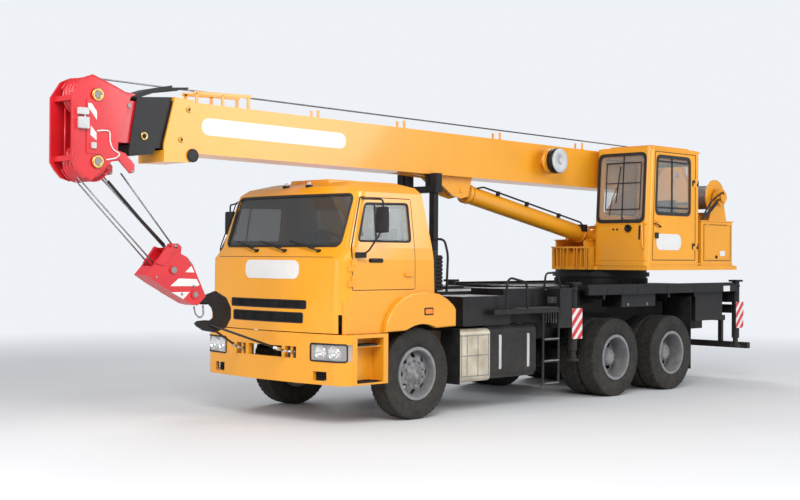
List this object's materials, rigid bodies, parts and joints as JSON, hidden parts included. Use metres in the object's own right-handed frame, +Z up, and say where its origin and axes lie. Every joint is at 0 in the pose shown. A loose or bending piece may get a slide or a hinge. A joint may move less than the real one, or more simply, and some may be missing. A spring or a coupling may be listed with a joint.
{
  "type": "mobile crane on a three-axle lorry",
  "caption": "Mobile crane: three-axle cab-over lorry with a slewing upper part, operator cab, three-section telescopic boom, hook block and four outriggers",
  "frame": {"origin": "on the ground under the middle of the machine's length and width", "axes": "+X forward, +Y to the driver's left, +Z up; wheels turn about Y"},
  "size_m": [11.625, 2.8, 3.585],
  "materials": {
    "paint_yellow": "gloss amber machine paint",
    "paint_black": "satin black chassis paint",
    "paint_red": "gloss red paint",
    "steel_bright": "bright steel",
    "rim_grey": "grey wheel paint",
    "tyre_rubber": "black rubber",
    "rubber_black": "black rubber",
    "glass_clear": "clear glass",
    "plastic_black": "moulded black plastic",
    "clad_silver": "dull sheet cladding",
    "lamp_clear": "clear lamp cover",
    "wire_rope": "galvanised wire rope"
  },
  "bodies": {
    "chassis": {"chassis_frame": "paint_black", "subframe": "paint_black", "slew_ring": "paint_black", "springs": "paint_black", "axles": "paint_black", "engine_block": "paint_black", "cab_shell": "paint_yellow", "cab_glass": "glass_clear", "cab_interior": "plastic_black", "bumper": "paint_yellow", "headlamps": "lamp_clear", "fenders": "paint_yellow", "fuel_tanks": "paint_black", "clad_box": "clad_silver", "side_boxes": "paint_black", "ladder_and_boom_rest": "paint_black", "mudflaps": "rubber_black"},
    "knuckle_l": {"knuckle_left": "paint_black"},
    "knuckle_r": {"knuckle_right": "paint_black"},
    "wheel_front_l": {"front_tyre_left": "tyre_rubber", "front_rim_left": "rim_grey"},
    "wheel_front_r": {"front_tyre_right": "tyre_rubber", "front_rim_right": "rim_grey"},
    "wheel_middle_l": {"middle_tyres_left": "tyre_rubber", "middle_rims_left": "rim_grey"},
    "wheel_middle_r": {"middle_tyres_right": "tyre_rubber", "middle_rims_right": "rim_grey"},
    "wheel_rear_l": {"rear_tyres_left": "tyre_rubber", "rear_rims_left": "rim_grey"},
    "wheel_rear_r": {"rear_tyres_right": "tyre_rubber", "rear_rims_right": "rim_grey"},
    "cab_door_l": {"door_left": "paint_yellow", "door_glass_left": "glass_clear", "mirror_left": "plastic_black"},
    "cab_door_r": {"door_right": "paint_yellow", "door_glass_right": "glass_clear", "mirror_right": "plastic_black"},
    "upper": {"turntable": "paint_yellow", "operator_cab_shell": "paint_yellow", "operator_cab_glass": "glass_clear", "operator_seat": "plastic_black", "machine_box": "paint_yellow"},
    "op_door": {"operator_door": "paint_yellow", "operator_door_glass": "glass_clear"},
    "drum": {"winch_drum": "paint_yellow"},
    "boom": {"boom_base": "paint_yellow"},
    "boom_middle": {"boom_mid": "paint_black"},
    "boom_end": {"boom_tip": "paint_red"},
    "luff_tube": {"luff_barrel": "paint_yellow"},
    "luff_ram": {"luff_rod": "steel_bright"},
    "hook_set": {"hook_block": "paint_red", "hoist_ropes": "wire_rope"},
    "beam_front_l": {"outrigger_beam_front_left": "paint_black"},
    "ram_front_l": {"jack_front_left": "paint_black"},
    "beam_front_r": {"outrigger_beam_front_right": "paint_black"},
    "ram_front_r": {"jack_front_right": "paint_black"},
    "beam_rear_l": {"outrigger_beam_rear_left": "paint_black"},
    "ram_rear_l": {"jack_rear_left": "paint_black"},
    "beam_rear_r": {"outrigger_beam_rear_right": "paint_black"},
    "ram_rear_r": {"jack_rear_right": "paint_black"}
  },
  "joints": [
    {"name": "steer_l", "type": "hinge", "parent": "chassis", "child": "knuckle_l", "pos_m": [1.9775, 0.85, 0.515], "axis": [0, 0, 1], "range_deg": [-30, 30]},
    {"name": "roll_front_l", "type": "hinge", "parent": "knuckle_l", "child": "wheel_front_l", "pos_m": [1.9775, 1.02, 0.515], "axis": [0, 1, 0], "continuous": true},
    {"name": "roll_middle_l", "type": "hinge", "parent": "chassis", "child": "wheel_middle_l", "pos_m": [-1.7125, 0.945, 0.515], "axis": [0, 1, 0], "continuous": true},
    {"name": "roll_rear_l", "type": "hinge", "parent": "chassis", "child": "wheel_rear_l", "pos_m": [-3.0325, 0.945, 0.515], "axis": [0, 1, 0], "continuous": true},
    {"name": "door_l_swing", "type": "hinge", "parent": "chassis", "child": "cab_door_l", "pos_m": [3.0015, 1.172, 1.8], "axis": [0, 0, -1], "range_deg": [0, 70]},
    {"name": "steer_r", "type": "hinge", "parent": "chassis", "child": "knuckle_r", "pos_m": [1.9775, -0.85, 0.515], "axis": [0, 0, 1], "range_deg": [-30, 30]},
    {"name": "roll_front_r", "type": "hinge", "parent": "knuckle_r", "child": "wheel_front_r", "pos_m": [1.9775, -1.02, 0.515], "axis": [0, 1, 0], "continuous": true},
    {"name": "roll_middle_r", "type": "hinge", "parent": "chassis", "child": "wheel_middle_r", "pos_m": [-1.7125, -0.945, 0.515], "axis": [0, 1, 0], "continuous": true},
    {"name": "roll_rear_r", "type": "hinge", "parent": "chassis", "child": "wheel_rear_r", "pos_m": [-3.0325, -0.945, 0.515], "axis": [0, 1, 0], "continuous": true},
    {"name": "door_r_swing", "type": "hinge", "parent": "chassis", "child": "cab_door_r", "pos_m": [3.0015, -1.172, 1.8], "axis": [0, 0, 1], "range_deg": [0, 70]},
    {"name": "slew", "type": "hinge", "parent": "chassis", "child": "upper", "pos_m": [-3.0525, 0, 1.66], "axis": [0, 0, 1], "continuous": true},
    {"name": "op_door_swing", "type": "hinge", "parent": "upper", "child": "op_door", "pos_m": [-3.6595, 1.212, 2.45], "axis": [0, 0, 1], "range_deg": [0, 100]},
    {"name": "drum_spin", "type": "hinge", "parent": "upper", "child": "drum", "pos_m": [-5.4625, 0, 2.79], "axis": [0, 1, 0], "continuous": true},
    {"name": "luff", "type": "hinge", "parent": "upper", "child": "boom", "pos_m": [-4.6225, 0, 3.1], "axis": [0, -1, 0], "range_deg": [0, 74]},
    {"name": "extend_mid", "type": "slide", "parent": "boom", "child": "boom_middle", "axis": [1, 0, 0.0096], "range_m": [0, 6]},
    {"name": "extend_tip", "type": "slide", "parent": "boom_middle", "child": "boom_end", "axis": [1, 0, 0.0096], "range_m": [0, 6]},
    {"name": "luff_tube_tilt", "type": "hinge", "parent": "upper", "child": "luff_tube", "pos_m": [-2.7425, 0, 2.13], "axis": [0, -1, 0], "range_deg": [-0.5, 81.32]},
    {"name": "luff_ram_slide", "type": "slide", "parent": "luff_tube", "child": "luff_ram", "axis": [0.9814, 0, 0.1922], "range_m": [-0.01, 2.51203]},
    {"name": "hook_swing", "type": "hinge", "parent": "boom_end", "child": "hook_set", "pos_m": [5.5375, 0, 2.735], "axis": [0, 1, 0], "range_deg": [-42.67, 0]},
    {"name": "beam_front_l_out", "type": "slide", "parent": "chassis", "child": "beam_front_l", "axis": [0, 1, 0], "range_m": [0, 1.6]},
    {"name": "ram_front_l_down", "type": "slide", "parent": "beam_front_l", "child": "ram_front_l", "axis": [0, 0, -1], "range_m": [0, 0.5]},
    {"name": "beam_front_r_out", "type": "slide", "parent": "chassis", "child": "beam_front_r", "axis": [0, -1, 0], "range_m": [0, 1.6]},
    {"name": "ram_front_r_down", "type": "slide", "parent": "beam_front_r", "child": "ram_front_r", "axis": [0, 0, -1], "range_m": [0, 0.5]},
    {"name": "beam_rear_l_out", "type": "slide", "parent": "chassis", "child": "beam_rear_l", "axis": [0, 1, 0], "range_m": [0, 1.6]},
    {"name": "ram_rear_l_down", "type": "slide", "parent": "beam_rear_l", "child": "ram_rear_l", "axis": [0, 0, -1], "range_m": [0, 0.5]},
    {"name": "beam_rear_r_out", "type": "slide", "parent": "chassis", "child": "beam_rear_r", "axis": [0, -1, 0], "range_m": [0, 1.6]},
    {"name": "ram_rear_r_down", "type": "slide", "parent": "beam_rear_r", "child": "ram_rear_r", "axis": [0, 0, -1], "range_m": [0, 0.5]}
  ],
  "couplings": [
    {"joint": "steer_r", "follows": "steer_l", "ratio": 0.93},
    {"joint": "luff_tube_tilt", "follows": "luff", "ratio": 1.0921},
    {"joint": "luff_ram_slide", "follows": "luff", "m_per_rad": 1.9372}
  ]
}
